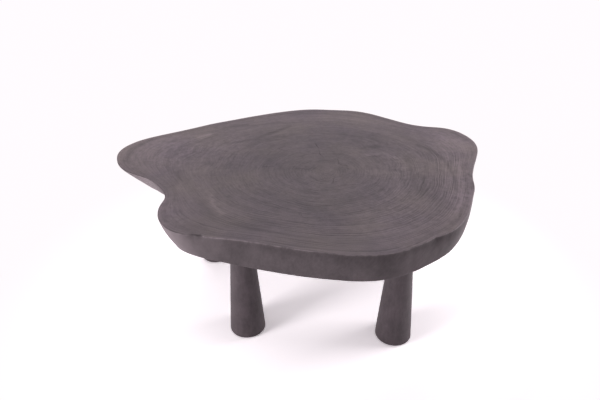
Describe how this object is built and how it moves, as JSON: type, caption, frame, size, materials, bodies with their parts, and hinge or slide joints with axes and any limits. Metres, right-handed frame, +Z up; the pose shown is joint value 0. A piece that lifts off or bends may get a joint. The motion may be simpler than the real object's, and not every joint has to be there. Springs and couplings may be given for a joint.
{
  "type": "coffee table",
  "caption": "Low coffee table: a thick cross-cut trunk slice with its live edge, black stained, on turned wooden legs that widen towards the floor.",
  "frame": {"origin": "on the floor, under the centre of the table's bounding box", "axes": "+X along the slab's length, towards the right seen from the front; +Y towards the back; +Z up"},
  "size_m": [1.0443, 0.8217, 0.4],
  "materials": {
    "stained_slab": "matte black stain, cross-cut grain with growth rings",
    "stained_leg": "matte black stain, turned, fine upright grain",
    "zinc_steel": "zinc plated, satin",
    "nylon": "matte moulded nylon"
  },
  "bodies": {
    "root": {"slab_top": "stained_slab", "leg_front_left": "stained_leg", "leg_front_right": "stained_leg", "leg_rear_left": "stained_leg", "leg_rear_right": "stained_leg", "insert_nut_front_left": "zinc_steel", "insert_nut_front_right": "zinc_steel", "insert_nut_rear_left": "zinc_steel", "insert_nut_rear_right": "zinc_steel", "hanger_bolt_front_left": "zinc_steel", "hanger_bolt_front_right": "zinc_steel", "hanger_bolt_rear_left": "zinc_steel", "hanger_bolt_rear_right": "zinc_steel", "glide_front_left": "nylon", "glide_front_right": "nylon", "glide_rear_left": "nylon", "glide_rear_right": "nylon"}
  },
  "joints": []
}
